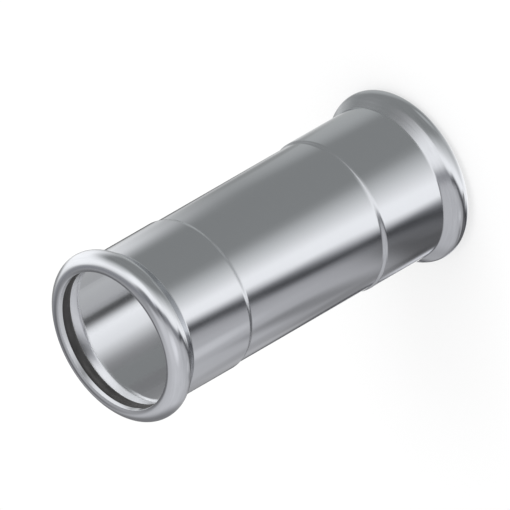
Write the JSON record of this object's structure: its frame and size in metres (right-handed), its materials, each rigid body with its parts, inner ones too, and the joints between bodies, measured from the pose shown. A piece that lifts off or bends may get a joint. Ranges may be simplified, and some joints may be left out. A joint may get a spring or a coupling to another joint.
{
  "type": "press slip coupling",
  "caption": "Straight press slip coupling: a formed stainless tube with stepped sockets, a rolled bead at each mouth and a black seal ring inside each bead.",
  "frame": {"origin": "centre of the circle on which the lower bead stands", "axes": "+Z along the coupling's axis, from the lower mouth to the upper one; X and Y across it, in any turn about the axis"},
  "size_m": [0.0528, 0.0528, 0.1182],
  "materials": {
    "stainless_steel": "satin stainless steel with faint forming lines round the axis",
    "seal_rubber": "matt black rubber"
  },
  "bodies": {
    "root": {"coupling_body": "stainless_steel", "seal_ring_bottom": "seal_rubber", "seal_ring_top": "seal_rubber"}
  },
  "joints": []
}
